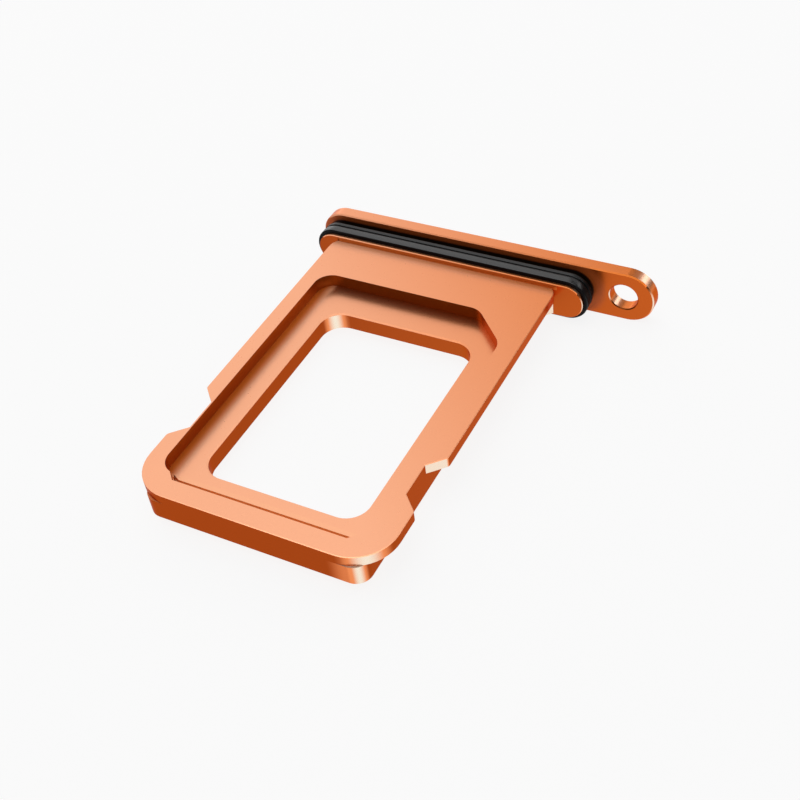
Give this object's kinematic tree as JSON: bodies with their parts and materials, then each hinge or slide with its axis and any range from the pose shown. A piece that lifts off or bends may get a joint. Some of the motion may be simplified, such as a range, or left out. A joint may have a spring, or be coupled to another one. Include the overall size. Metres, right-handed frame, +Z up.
{
  "type": "sim card tray",
  "caption": "Flat metal card tray with a card pocket, a window through its floor, side notches, a rubber seal and a face plate with an eject hole.",
  "frame": {"origin": "under the middle of the whole tray, at the level of the face plate's lower edge", "axes": "+X along the face plate towards the eject hole, +Y from the tip of the blade to the face plate, +Z up out of the card pocket"},
  "size_m": [0.0156, 0.0176, 0.0023],
  "materials": {
    "anodised_metal": "orange anodised, satin bead-blasted",
    "seal_rubber": "black moulded silicone rubber, satin"
  },
  "bodies": {
    "root": {"tray": "anodised_metal", "seal_ring": "seal_rubber"}
  },
  "joints": []
}
